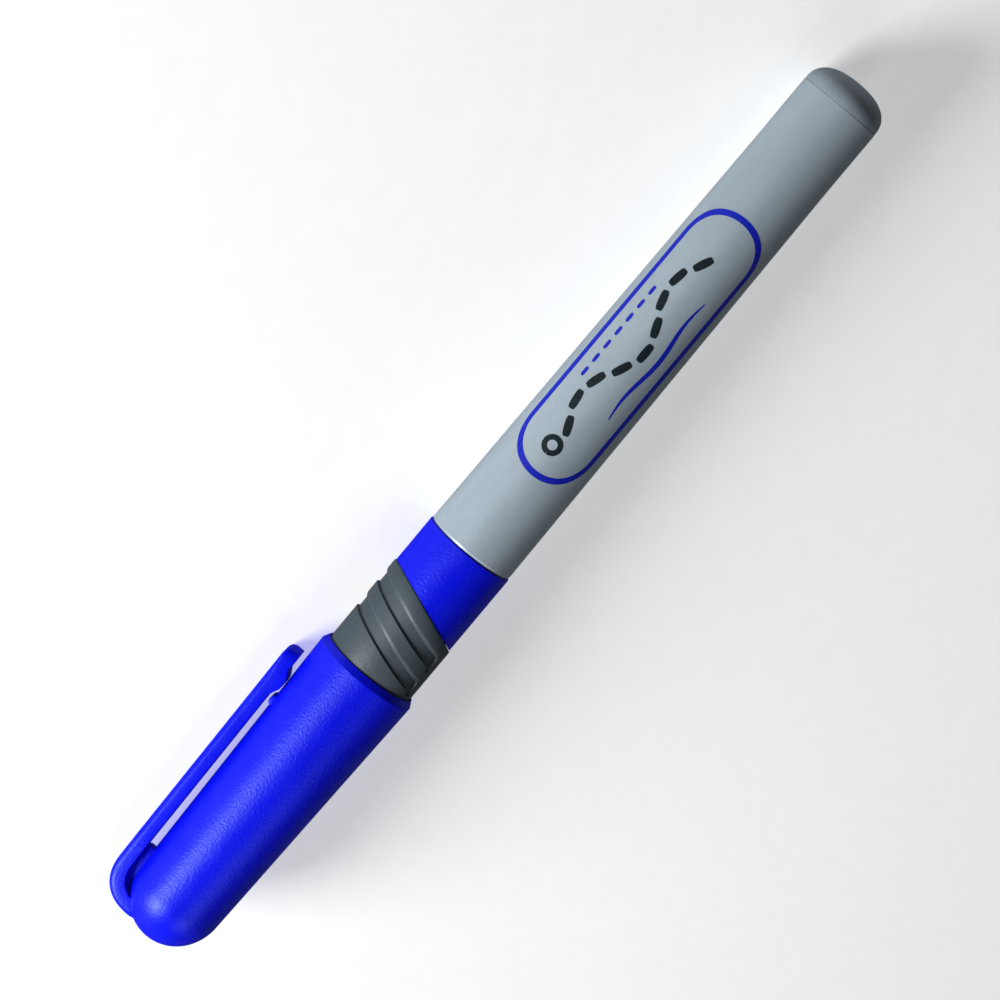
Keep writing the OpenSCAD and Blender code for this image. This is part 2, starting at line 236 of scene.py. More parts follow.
def inked_fibre(name, colour, pale, fibre_mm):
    """Pressed or bonded fibre: fine streaks along the rod, and a dry, rough surface."""
    material, tree, shader, mm = finish_named(name, 0.85, 1.5)
    stretch = node(tree, "ShaderNodeVectorMath", operation="MULTIPLY", links={"Vector": mm})
    stretch.inputs[1].default_value = (0.12 / fibre_mm, 1 / fibre_mm, 1 / fibre_mm)
    streaks = node(tree, "ShaderNodeTexNoise", Scale=1.0, Detail=5.0, Roughness=0.65,
                   links={"Vector": stretch.outputs["Vector"]})
    shades = shades_of(tree, streaks.outputs["Fac"], colour, pale, 0.35, 0.65)
    tree.links.new(shades, shader.inputs["Base Color"])
    roughen(tree, shader, streaks.outputs["Fac"], 0.06)
    return material


def printed_ink(name, colour, thin):
    """Pad-printed ink: flat colour that thins where the pad lifted, with a slight gloss."""
    material, tree, shader, mm = finish_named(name, 0.42, 1.5, Specular_IOR_Level=0.3)
    cover = node(tree, "ShaderNodeTexNoise", Scale=2.2, Detail=6.0, Roughness=0.75, links={"Vector": mm})
    shades = shades_of(tree, cover.outputs["Fac"], colour, thin, 0.42, 0.72)
    tree.links.new(shades, shader.inputs["Base Color"])
    roughen(tree, shader, cover.outputs["Fac"], 0.006)
    return material


# ---------------------------------------------------------------- mesh helpers
def placed(name, mesh):
    """A mesh as an object in the scene."""
    made = bpy.data.objects.new(name, mesh)
    bpy.context.scene.collection.objects.link(made)
    return made


def finished(name, work, finish=None):
    """A mesh in the making, as an object in the scene."""
    mesh = bpy.data.meshes.new(name)
    work.to_mesh(mesh)
    work.free()
    if finish:
        mesh.materials.append(finish)
    return placed(name, mesh)


def use_only(mesh, finish):
    """Gives every face of a mesh one finish."""
    mesh.materials.clear()
    mesh.materials.append(finish)
    for face in mesh.polygons:
        face.material_index = 0


def join_rings(work, first, second):
    """Faces between two closed rings of points."""
    for i in range(len(first)):
        j = (i + 1) % len(first)
        work.faces.new((first[i], first[j], second[j], second[i]))


def rounded_profile(corners, steps=6):
    """Points (x, radius) of an outline whose corners (x, radius, rounding) are rounded by short arcs."""
    points = []
    for i, (x, r, rounding) in enumerate(corners):
        here = Vector((x, r))
        if rounding == 0 or i in (0, len(corners) - 1):
            points.append(here)
            continue
        back = (Vector(corners[i - 1][:2]) - here).normalized()
        ahead = (Vector(corners[i + 1][:2]) - here).normalized()
        half = back.angle(ahead) / 2
        reach = rounding / math.tan(half)
        start, end = here + back * reach, here + ahead * reach
        middle = here + (back + ahead).normalized() * (rounding / math.sin(half))
        points.append(start + back * rounding * 0.4)       # keeps the flat beside the arc flat
        first, last = start - middle, end - middle
        sweep = first.angle(last)
        for share in shares(steps):
            a = math.sin((1 - share) * sweep) / math.sin(sweep)
            b = math.sin(share * sweep) / math.sin(sweep)
            points.append(middle + first * a + last * b)
        points.append(end + ahead * rounding * 0.4)
    return points


def arithmetic(tree, operation, a, b=0):
    """Adds a sum of two numbers or sockets to a tree."""
    made = node(tree, "ShaderNodeMath", operation=operation)
    for socket, value in zip(made.inputs, (a, b)):
        if isinstance(value, (int, float)):
            socket.default_value = value
        else:
            tree.links.new(value, socket)
    return made.outputs[0]


def turning_tree():
    """Geometry nodes that turn a profile (X along the pen, Y the radius) round the pen's axis."""
    tree = bpy.data.node_groups.new("turn_profile", "GeometryNodeTree")
    face = tree.interface
    face.new_socket("Profile", in_out="INPUT", socket_type="NodeSocketGeometry")
    for name in ("Rows", "Segments"):
        face.new_socket(name, in_out="INPUT", socket_type="NodeSocketInt")
    face.new_socket("Axis", in_out="INPUT", socket_type="NodeSocketVector")
    face.new_socket("Finish", in_out="INPUT", socket_type="NodeSocketMaterial")
    face.new_socket("Part", in_out="OUTPUT", socket_type="NodeSocketGeometry")
    given, maths = node(tree, "NodeGroupInput").outputs, partial(arithmetic, tree)
    columns = maths("ADD", given["Segments"], 1)
    grid = node(tree, "GeometryNodeMeshGrid",
                links={"Vertices X": given["Rows"], "Vertices Y": columns})
    index = node(tree, "GeometryNodeInputIndex").outputs[0]
    row = maths("FLOOR", maths("DIVIDE", maths("ADD", index, 0.5), columns))
    column = maths("SUBTRACT", index, maths("MULTIPLY", row, columns))
    here = node(tree, "GeometryNodeInputPosition").outputs[0]
    profile = node(tree, "GeometryNodeSampleIndex", data_type="FLOAT_VECTOR", domain="POINT",
                   links={"Geometry": given["Profile"], "Value": here, "Index": row})
    point = node(tree, "ShaderNodeSeparateXYZ", links={"Vector": profile.outputs["Value"]}).outputs
    angle = maths("MULTIPLY", maths("DIVIDE", column, given["Segments"]), math.tau)
    ring = node(tree, "ShaderNodeCombineXYZ", links={
        "X": point["X"],
        "Y": maths("MULTIPLY", point["Y"], maths("COSINE", angle)),
        "Z": maths("MULTIPLY", point["Y"], maths("SINE", angle))})
    place = node(tree, "ShaderNodeVectorMath", operation="ADD", links={0: ring.outputs["Vector"]})
    tree.links.new(given["Axis"], place.inputs[1])
    moved = node(tree, "GeometryNodeSetPosition",
                 links={"Geometry": grid.outputs["Mesh"], "Position": place.outputs["Vector"]})
    closed = node(tree, "GeometryNodeMergeByDistance", Distance=1e-7,
                  links={"Geometry": moved.outputs["Geometry"]})
    real = node(tree, "GeometryNodeRealizeInstances", links={"Geometry": closed.outputs["Geometry"]})
    coated = node(tree, "GeometryNodeSetMaterial",
                  links={"Geometry": real.outputs["Geometry"], "Material": given["Finish"]})
    output = node(tree, "NodeGroupOutput")
    tree.links.new(coated.outputs["Geometry"], output.inputs["Part"])
    return tree


def run_tree(name, source, tree, values):
    """Runs a geometry-node tree on a mesh and returns the result as a plain object."""
    holder = placed(name + "_source", source)
    modifier = holder.modifiers.new("build", "NODES")
    modifier.node_group = tree
    sockets = {s.name: s.identifier for s in tree.interface.items_tree if s.in_out == "INPUT"}
    for socket, value in values.items():
        modifier[sockets[socket]] = value
    evaluated = holder.evaluated_get(bpy.context.evaluated_depsgraph_get())
    mesh = bpy.data.meshes.new_from_object(evaluated)
    mesh.name = name
    use_only(mesh, values["Finish"])
    holder.modifiers.remove(modifier)
    bpy.data.objects.remove(holder)
    return placed(name, mesh)


TURNING = turning_tree()


def tidy_shell(piece, sharp_degrees=28):
    """Merges doubles, points the faces outwards, and keeps hard edges hard."""
    work = bmesh.new()
    work.from_mesh(piece.data)
    bmesh.ops.remove_doubles(work, verts=work.verts, dist=1e-7)
    bmesh.ops.recalc_face_normals(work, faces=work.faces)
    for edge in work.edges:
        edge.smooth = not (len(edge.link_faces) == 2
                           and edge.calc_face_angle() > math.radians(sharp_degrees))
    for face in work.faces:
        face.smooth = True
    work.to_mesh(piece.data)
    work.free()
    return piece


def turned(name, corners, finish):
    """A part turned from corners (x, radius, rounding); the outline closes on itself or on the axis."""
    points = rounded_profile(corners)
    profile = bpy.data.meshes.new(name + "_profile")
    profile.from_pydata([(p.x, p.y, 0) for p in points], [], [])
    piece = run_tree(name, profile, TURNING, {
        "Rows": len(points), "Segments": SEGMENTS, "Finish": finish,
        "Axis": (0, AXIS_POINT.y, AXIS_POINT.z)})
    return tidy_shell(piece)


def stands_for(piece, cad_node, body):
    """The piece rides on its body in place of a CAD node."""
    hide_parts(cad_node)
    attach(piece, body)


# ---------------------------------------------------------------- finishes
FINISH = {
    "barrel": grey_polypropylene(),
    "tail_plug": shaded_tail_polypropylene(),
    "cap_shell": blue_polypropylene(),
    "grip_sleeve": grip_elastomer(),
    "nib": inked_fibre("ink_soaked_fibre", "#141c5c", "#27349a", 0.12),
    "reservoir_core": inked_fibre("bonded_reservoir_fibre", "#c9cede", "#e6e9f1", 0.2),
    "reservoir_film": natural_polyethylene(),
    "cap_liner": natural_polyethylene(),
}
FINISH["front_section"], FINISH["cap_clip"] = FINISH["cap_shell"], smooth_blue_polypropylene()
for name, cad in frame["nodes"].items():
    cad.data.materials.clear()
    cad.data.materials.append(FINISH[name])


# ---------------------------------------------------------------- turned pieces
def end_curve(radius, x_from, x_to, power, steps=20):
    """Corners of a rounded end, from its radius to the axis; a power above 2 makes a squarer shoulder."""
    corners = []
    for step in range(steps + 1):
        turn = math.pi / 2 * step / steps
        x = x_from + (x_to - x_from) * math.sin(turn) ** (2 / power)
        corners.append((x, radius * math.cos(turn) ** (2 / power) if step < steps else 0.0, 0))
    return corners


def make_barrel():
    """The tapered tube: a bright rounded front edge, and a fine edge at the tail's parting line."""
    bore, plug_bore = 5.05 * MM, 4.53 * MM
    bore_start, plug_bore_end = along(59.6), along(11.55)      # the bore widens between these
    edge_long, edge_high = 0.36 * MM, 0.15 * MM                # bevel of the front edge
    outline = [(BARREL_REAR, plug_bore, 0), (BARREL_REAR, TAIL_R, 0.07 * MM), (STRAIGHT_END, TAIL_R, 0),
               (BARREL_FRONT - edge_long, BARREL_R, 0.12 * MM),
               (BARREL_FRONT, BARREL_R - edge_high, 0.05 * MM),
               (BARREL_FRONT, bore, 0.1 * MM), (bore_start, bore, 0),
               (plug_bore_end, plug_bore, 0), (BARREL_REAR, plug_bore, 0)]
    stands_for(turned("barrel_tube", outline, FINISH["barrel"]), "barrel", "pen")


def make_tail():
    """The rounded plug, whose edge is a hair smaller than the barrel, so that a parting line shows."""
    edge, radius = BARREL_REAR - 0.02 * MM, TAIL_R - 0.03 * MM
    outside = end_curve(radius, edge - 0.1 * MM, TAIL_END, 2.4)
    spigot, spigot_end = 4.5 * MM, along(9.55)
    hollow, hollow_start, hollow_end = spigot - 0.9 * MM, along(2.95), along(1.75)
    outline = outside[::-1] + [
        (edge, radius, 0.06 * MM), (edge, spigot, 0.1 * MM), (spigot_end, spigot, 0.3 * MM),
        (spigot_end, hollow, 0.1 * MM), (hollow_start, hollow, 0.3 * MM), (hollow_end, 0, 0)]
    stands_for(turned("tail_plug_shell", outline, FINISH["tail_plug"]), "tail_plug", "pen")


# ---------------------------------------------------------------- grip sleeve
def slant(x_axis, lean, turn, angle, radius):
    """X of a leaning cut across the pen, at an angle from the clip."""
    return x_axis - radius * math.tan(math.radians(lean)) * math.cos(angle - math.radians(turn))


def make_grip():
    """The elastomer sleeve: a slanted rear edge, and two slanted channels that stop short in rounded ends."""
    columns = 480
    inner, rim = 5.33 * MM, 0.16 * MM
    rear_axis, rear_lean, rear_turn = along(82.6), 22, 24
    channel_lean, channel_turn = 19, 8
    first_channel, spacing, half_width, depth = 2.45 * MM, 3.9 * MM, 0.84 * MM, 0.3 * MM
    front_wall, rear_slope = 0.17 * MM, 0.36 * MM      # the rear wall's top is a slope that catches the light
    floor_edge, land = 0.12 * MM, 0.15 * MM            # strips that keep the flats beside the edges flat
    stop, ending, curl_over = math.radians(156), math.radians(8), math.radians(16)
    curl_reach = 1.1 * MM
    front = GRIP_FRONT
    middles = [rear_axis + first_channel + spacing * i for i in (1, 0)]
    rings = []
    for column in range(columns):
        angle = math.tau * column / columns - math.pi
        left = (stop - abs(angle)) / ending
        open_share = 0.0 if left <= 0 else math.sqrt(1 - (1 - min(1, left)) ** 2)
        ring = [(front, inner), (front, GRIP_R - rim), (front - rim * 0.3, GRIP_R - rim * 0.3),
                (front - rim, GRIP_R)]
        for middle in middles:
            centre = slant(middle, channel_lean, channel_turn, angle, GRIP_R)
            low = GRIP_R - depth * min(1, open_share * 1.5)
            wide = half_width * max(open_share, 0.02)
            steep, slope = front_wall * open_share / 2, rear_slope * open_share
            # On the label's side the channel's front wall curls towards the cap as it ends
            curl = max(0.0, 1 - left * ending / curl_over) if left > 0 else 1.0
            fore, aft, rise = centre + wide + curl_reach * curl ** 2, centre - wide, GRIP_R - low
            ring += [(fore + steep + land, GRIP_R), (fore + steep, GRIP_R),
                     (fore + steep * 0.6, low + rise * 0.85), (fore - steep * 0.6, low + rise * 0.12),
                     (fore - steep, low), (fore - steep - floor_edge * open_share, low),
                     (aft + steep + floor_edge * open_share, low), (aft + steep, low),
                     (aft, low + rise * 0.52), (aft - slope * 0.15, low + rise * 0.6),
                     (aft - slope * 0.85, low + rise * 0.96),
                     (aft - slope, GRIP_R), (aft - slope - land, GRIP_R)]
        edge = slant(rear_axis, rear_lean, rear_turn, angle, GRIP_R)
        ring += [(edge + rim, GRIP_R), (edge + rim * 0.3, GRIP_R - rim * 0.3), (edge, GRIP_R - rim),
                 (slant(rear_axis, rear_lean, rear_turn, angle, inner), inner)]
        rings.append([spot(x, radius, angle) for x, radius in ring])
    work = bmesh.new()
    grid = [[work.verts.new(point) for point in ring] for ring in rings]
    rows = len(grid[0])
    for here, there in zip(grid, grid[1:] + grid[:1]):
        for row in range(rows):
            after = (row + 1) % rows
            work.faces.new((here[row], there[row], there[after], here[after]))
    sleeve = finished("grip_rubber", work, FINISH["grip_sleeve"])
    stands_for(tidy_shell(sleeve, 50), "grip_sleeve", "pen")


# ---------------------------------------------------------------- cap and clip
def clip_place(x, radius, aside):
    """A point by its place along the pen, its height over the axis at the clip, and how far it is aside."""
    return Vector((x, AXIS_POINT.y, AXIS_POINT.z)) + CLIP_SIDE * radius + LABEL_SIDE * aside


def lofted_strap(name, steps, finish):
    """A strap through steps (inner point, outer point, half width, outer rounding, inner rounding)."""
    work = bmesh.new()
    rings = []
    for inner, outer, half, soft_out, soft_in in steps:
        inner, outer = Vector(inner), Vector(outer)
        height = (outer - inner).length
        lift = (outer - inner) / height
        section = []
        for side in (1, -1):
            turns = [share * math.pi / 2 for share in shares(6)]
            low = [(soft_in - soft_in * math.cos(a), half - soft_in + soft_in * math.sin(a)) for a in turns]
            high = [(height - soft_out + soft_out * math.sin(a), half - soft_out + soft_out * math.cos(a))
                    for a in turns]
            corner = low + high
            section += [(u, v * side) for u, v in (corner if side == 1 else reversed(corner))]
        ring = []
        for u, v in section:
            here = inner + lift * u
            ring.append(work.verts.new(clip_place(here.x, here.y, v)))
        rings.append(ring)
    for first, second in zip(rings, rings[1:]):
        join_rings(work, first, second)
    work.faces.new(rings[0])
    work.faces.new(rings[-1])
    bmesh.ops.recalc_face_normals(work, faces=work.faces)
    return finished(name, work, finish)


def prism(name, outline, half, finish):
    """A straight-sided block: an outline (x, height over the axis) at the clip, this far to each side."""
    work = bmesh.new()
    near, far = [[work.verts.new(clip_place(x, r, side)) for x, r in outline] for side in (half, -half)]
    work.faces.new(near)
    work.faces.new(far)
    join_rings(work, near, far)
    bmesh.ops.recalc_face_normals(work, faces=work.faces)
    return finished(name, work, finish)


def combine(piece, tool, operation):
    """Joins, cuts or keeps what two closed pieces share, and leaves a plain mesh."""
    modifier = piece.modifiers.new("combine", "BOOLEAN")
    modifier.operation, modifier.solver, modifier.object = operation, "EXACT", tool
    evaluated = piece.evaluated_get(bpy.context.evaluated_depsgraph_get())
    mesh = bpy.data.meshes.new_from_object(evaluated)
    piece.modifiers.remove(modifier)
    mesh.name, finish = piece.name, piece.data.materials[0]
    piece.data = mesh
    use_only(mesh, finish)


def strap_steps():
    """The clip from its free end to where it runs into the cap's rounded end."""
    lean = (CAP_MOUTH_R - CAP_END_R) / (DOME_START - CAP_MOUTH) - math.tan(math.radians(CLIP_LEAN))
    half_thick = CLIP_THICK / 2

    def middle(x):
        return CLIP_ROOT_R + (CLIP_ROOT.x - x) * lean

    def half_width(x):
        share = (x - CLIP_FREE) / (CLIP_ROOT.x - CLIP_FREE)
        return (CLIP_WIDTH[0] + (CLIP_WIDTH[1] - CLIP_WIDTH[0]) * min(1, share)) / 2

    steps = []
    soft_in, soft_out, end_soft_out = 0.12 * MM, 0.85 * MM, 0.25 * MM
    # The free end: its outer corner is rounded, and so are its corners seen from outside
    end_round, end_drop = 1.25 * MM, 1.15 * MM
    for degrees in (4, 14, 26, 40, 55, 72, 90):
        a = math.radians(degrees)
        x = CLIP_FREE + end_round * (1 - math.cos(a))
        plan = end_round * (1 - math.sin(a))
        top = middle(x) + half_thick - end_drop * (1 - math.sin(a))
        steps.append(((x, middle(x) - half_thick), (x, top), half_width(x) - plan, end_soft_out, soft_in))
    # Stations of the arm, and how far its tooth stands out there
    arm = ((98.6, 0), (99.3, 0), (99.7, 0.22), (100.2, 0.5), (100.5, 0.6), (100.8, 0.64), (101.5, 0.64),
           (101.8, 0.6), (102.5, 0.26), (103.1, 0), (104.4, 0), (108, 0), (114, 0), (120, 0), (126, 0))
    for station, drop in arm:
        x = along(station)
        soft = min(soft_out, end_soft_out + 0.15 * (station - 97.5) * MM)
        steps.append(((x, middle(x) - half_thick - drop * MM), (x, middle(x) + half_thick), half_width(x),
                      soft, soft_in))
    x = CLIP_ROOT.x
    steps.append(((x, CLIP_ROOT_R - half_thick), (x, CLIP_ROOT_R + half_thick), half_width(x),
                  soft_out, soft_in))
    # Past the bending line the strap wraps round the shoulder; its inner side is inside the cap's wall
    shoulder = cap_radius(DOME_START) + CLIP_GAP + CLIP_THICK
    reach, foot, soft_in = 5.7 * MM, 3.3 * MM, 0.05 * MM
    for share in shares(24):
        turn = math.pi / 2 * share
        forward, up = math.sin(turn) ** (2 / 2.4), math.cos(turn) ** (2 / 2.4) if share < 1 else 0.0
        inner = (DOME_START + (reach - CLIP_THICK) * forward, foot + (shoulder - CLIP_THICK - foot) * up)
        outer = (DOME_START + reach * forward, foot + (shoulder - foot) * up)
        steps.append((inner, outer, half_width(CLIP_ROOT.x), soft_out, soft_in))
    low_end = 1.2 * MM
    steps.append(((DOME_START + reach - CLIP_THICK - 0.2 * MM, low_end),
                  (DOME_START + reach - 0.35 * MM, low_end),
                  half_width(CLIP_ROOT.x) - 0.3 * MM, 0.7 * MM, soft_in))
    return steps


def part_line(radius, shift):
    """Everything on the free side of the bending line, and a round bead about that line."""
    x, r = CLIP_ROOT.x + shift, CLIP_ROOT_R
    bead = [(CLIP_ROOT.x + radius * math.sin(a), r - radius * math.cos(a))
            for a in [math.radians(d) for d in range(6, 175, 8)]]
    end, low, high = x - 40 * MM, r - 4 * MM, r + 5 * MM
    return [(end, low), (x, low)] + bead + [(x, high), (end, high)]


def soften(piece, width=0.12 * MM):
    """Takes the sharpness off a block's edges before it joins the cap."""
    work = bmesh.new()
    work.from_mesh(piece.data)
    edges = [e for e in work.edges if e.calc_face_angle() > math.radians(50)]
    bmesh.ops.bevel(work, geom=edges, offset=width, segments=2, affect="EDGES", profile=0.6)
    work.to_mesh(piece.data)
    work.free()


def make_cap_and_clip():
    """The cap with the clip's root on it, and the clip's free arm, parted along the bending line."""
    blue = FINISH["cap_shell"]
    lip = CAP_MOUTH_R - 0.48 * MM
    mouth_bore, seat_bore, flange_bore, liner_bore = 6.34 * MM, 5.46 * MM, 5.05 * MM, 4.8 * MM
    mouth_end, seat_start, seat_end = along(97.3), along(98.2), along(107)
    flange_start, flange_end, liner_start = along(108), along(117.6), along(118.2)
    end_wall = 1.5 * MM
    outline = end_curve(CAP_END_R, DOME_START, CAP_END, 2.02, 28)[::-1] + [
        (CAP_MOUTH, CAP_MOUTH_R, 0.22 * MM), (CAP_LIP, lip, 0.05 * MM), (CAP_LIP, mouth_bore, 0.04 * MM),
        (mouth_end, mouth_bore, 0), (seat_start, seat_bore, 0), (seat_end, seat_bore, 0),
        (flange_start, flange_bore, 0), (flange_end, flange_bore, 0), (liner_start, liner_bore, 0)
    ] + end_curve(liner_bore, DOME_START + 0.2 * MM, CAP_END - end_wall, 2, 14)
    shell = turned("cap_cover", outline, blue)

    smooth = FINISH["cap_clip"]
    strap = lofted_strap("clip_strap", strap_steps(), smooth)
    play, past_width = 0.012 * MM, 4 * MM
    arm_side = prism("arm_side", part_line(CLIP_THICK / 2 - play, -play), past_width, smooth)
    root_cut = prism("root_cut", part_line(CLIP_THICK / 2, 0.0), past_width, blue)
    arm = strap.copy()
    arm.data = strap.data.copy()
    arm.name = arm.data.name = "clip_arm"
    bpy.context.scene.collection.objects.link(arm)
    combine(arm, arm_side, "INTERSECT")
    combine(strap, root_cut, "DIFFERENCE")

    # The web fills the corner between the strap and the cap, and the ridge grips cloth under the arm
    under = CLIP_ROOT_R - CLIP_THICK / 2
    web_start, web_sunk, web_half = CLIP_ROOT.x + 0.42 * MM, 0.7 * MM, 1.1 * MM
    web = prism("clip_web", [
        (web_start, cap_radius(web_start) - web_sunk), (web_start, under - 0.32 * MM),
        (web_start + 0.1 * MM, under - 0.1 * MM), (web_start + 0.3 * MM, under + 0.05 * MM),
        (web_start + 1.2 * MM, under + 0.4 * MM), (DOME_START, under + 0.3 * MM),
        (DOME_START + 2.4 * MM, 6.6 * MM), (DOME_START + 4.2 * MM, 4.6 * MM),
        (DOME_START + 2.6 * MM, 4.4 * MM), (DOME_START, cap_radius(DOME_START) - web_sunk)], web_half, blue)
    ridge_at, ridge_half, ridge_high, ridge_aside = along(103.55), 0.66 * MM, 0.42 * MM, 1.5 * MM
    base = cap_radius(ridge_at)
    sunk = base - 0.5 * MM
    crest = [(ridge_at + ridge_half * math.sin(a), base - 0.03 * MM + ridge_high * math.cos(a))
             for a in [math.radians(d) for d in range(-90, 91, 18)]]
    ridge = prism("cloth_ridge", [(ridge_at - ridge_half, sunk)] + crest + [(ridge_at + ridge_half, sunk)],
                  ridge_aside, blue)
    for extra in (web, ridge):
        soften(extra)
        combine(shell, extra, "UNION")
    combine(shell, strap, "UNION")
    for scrap in (strap, arm_side, root_cut, web, ridge):
        bpy.data.objects.remove(scrap)
    stands_for(tidy_shell(shell, 30), "cap_shell", "cap")
    stands_for(tidy_shell(arm, 30), "cap_clip", "clip")


# ---------------------------------------------------------------- print on the barrel
def print_tree():
    """Geometry nodes for the print: stitches along a path, and flat strokes, all bent round the barrel."""
    tree = bpy.data.node_groups.new("barrel_print", "GeometryNodeTree")
    face = tree.interface
    for name, kind in (("Path", "Geometry"), ("Stitch", "Object"), ("Strokes", "Object"),
                       ("Stitch Spacing", "Float"), ("Stitch Size", "Float"), ("Axis", "Vector"),
                       ("Front X", "Float"), ("Front Radius", "Float"), ("Taper", "Float"),
                       ("Finish", "Material")):
        face.new_socket(name, in_out="INPUT", socket_type="NodeSocket" + kind)
    face.new_socket("Print", in_out="OUTPUT", socket_type="NodeSocketGeometry")
    given, maths = node(tree, "NodeGroupInput").outputs, partial(arithmetic, tree)
    curve = node(tree, "GeometryNodeMeshToCurve", links={"Mesh": given["Path"]})
    spaced = node(tree, "GeometryNodeResampleCurve", mode="LENGTH",
                  links={"Curve": curve.outputs["Curve"], "Length": given["Stitch Spacing"]})
    heading = node(tree, "GeometryNodeInputTangent")
    turn = node(tree, "FunctionNodeAlignRotationToVector", axis="X",
                links={"Vector": heading.outputs["Tangent"]})
    one = node(tree, "GeometryNodeObjectInfo", links={"Object": given["Stitch"]})
    sewn = node(tree, "GeometryNodeInstanceOnPoints", links={
        "Points": spaced.outputs["Curve"], "Instance": one.outputs["Geometry"],
        "Rotation": turn.outputs["Rotation"], "Scale": given["Stitch Size"]})
    strokes = node(tree, "GeometryNodeObjectInfo", links={"Object": given["Strokes"]})
    both = node(tree, "GeometryNodeJoinGeometry")
    tree.links.new(sewn.outputs["Instances"], both.inputs["Geometry"])
    tree.links.new(strokes.outputs["Geometry"], both.inputs["Geometry"])
    real = node(tree, "GeometryNodeRealizeInstances", links={"Geometry": both.outputs["Geometry"]})
    flat = node(tree, "ShaderNodeSeparateXYZ",
                links={"Vector": node(tree, "GeometryNodeInputPosition").outputs[0]}).outputs
    radius = maths("SUBTRACT", given["Front Radius"],
                   maths("MULTIPLY", maths("SUBTRACT", given["Front X"], flat["X"]), given["Taper"]))
    angle = maths("DIVIDE", flat["Y"], radius)
    height = maths("ADD", radius, flat["Z"])
    bent = node(tree, "ShaderNodeCombineXYZ", links={
        "Y": maths("MULTIPLY", height, maths("COSINE", angle)),
        "Z": maths("MULTIPLY", height, maths("SINE", angle))})
    tree.links.new(flat["X"], bent.inputs["X"])
    # The label's middle faces up and to the front, so the whole print turns with it
    rolled = node(tree, "ShaderNodeVectorRotate", rotation_type="X_AXIS",
                  links={"Vector": bent.outputs["Vector"]})
    rolled.inputs["Angle"].default_value = math.atan2(LABEL_SIDE.z, LABEL_SIDE.y)
    place = node(tree, "ShaderNodeVectorMath", operation="ADD", links={0: rolled.outputs["Vector"]})
    tree.links.new(given["Axis"], place.inputs[1])
    moved = node(tree, "GeometryNodeSetPosition",
                 links={"Geometry": real.outputs["Geometry"], "Position": place.outputs["Vector"]})
    coated = node(tree, "GeometryNodeSetMaterial",
                  links={"Geometry": moved.outputs["Geometry"], "Material": given["Finish"]})
    output = node(tree, "NodeGroupOutput")
    tree.links.new(coated.outputs["Geometry"], output.inputs["Print"])
    return tree


INK_UNDER, INK_TOP = -0.012 * MM, 0.022 * MM      # a film of ink just proud of the barrel


def flat_film(work, left, right):
    """Closed film of ink between two rows of flat points (along, round), added to a mesh in the making."""
    across = shares(5)
    corners = [(share, INK_UNDER) for share in across] + [(share, INK_TOP) for share in across[::-1]]
    rings = [[work.verts.new((a[0] + (b[0] - a[0]) * share, a[1] + (b[1] - a[1]) * share, z))
              for share, z in corners] for a, b in zip(left, right)]
    for first, second in zip(rings, rings[1:]):
        join_rings(work, first, second)
    work.faces.new(rings[0])
    work.faces.new(rings[-1])


def stroke(work, points, widths):
    """A pen stroke of changing width along flat points."""
    left, right = [], []
    for i, point in enumerate(points):
        before, after = points[max(0, i - 1)], points[min(len(points) - 1, i + 1)]
        way = Vector((after[0] - before[0], after[1] - before[1])).normalized()
        out = Vector((-way.y, way.x)) * widths[i] / 2
        left.append((point[0] + out.x, point[1] + out.y))
        right.append((point[0] - out.x, point[1] - out.y))
    flat_film(work, left, right)


def loose_object(name, work):
    """A mesh in the making, as an object that only feeds another."""
    bmesh.ops.recalc_face_normals(work, faces=work.faces)
    return finished(name, work)


def print_on_barrel(name, path, strokes, spacing, size, finish):
    """One colour of the print, made flat and bent round the barrel."""
    dash = bmesh.new()
    half, rise = 1.05 * MM, 0.42 * MM
    ends = [math.radians(d) for d in range(-80, 81, 20)]
    left = [(half * math.sin(a), rise * math.cos(a) ** 0.35) for a in ends]
    flat_film(dash, left, [(x, -y) for x, y in left])
    dash = loose_object("one_stitch", dash)
    line = bpy.data.meshes.new(name + "_path")
    line.from_pydata([(x, y, 0) for x, y in path], [(i, i + 1) for i in range(len(path) - 1)], [])
    printed = run_tree(name, line, PRINTING, {
        "Stitch": dash, "Strokes": strokes, "Stitch Spacing": spacing, "Stitch Size": size,
        "Axis": (0, AXIS_POINT.y, AXIS_POINT.z), "Front X": BARREL_FRONT, "Front Radius": BARREL_R,
        "Taper": (BARREL_R - TAIL_R) / (BARREL_FRONT - STRAIGHT_END), "Finish": finish})
    for spare in (dash, strokes):
        bpy.data.objects.remove(spare)
    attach(printed, "pen")
    return tidy_shell(printed, 40)


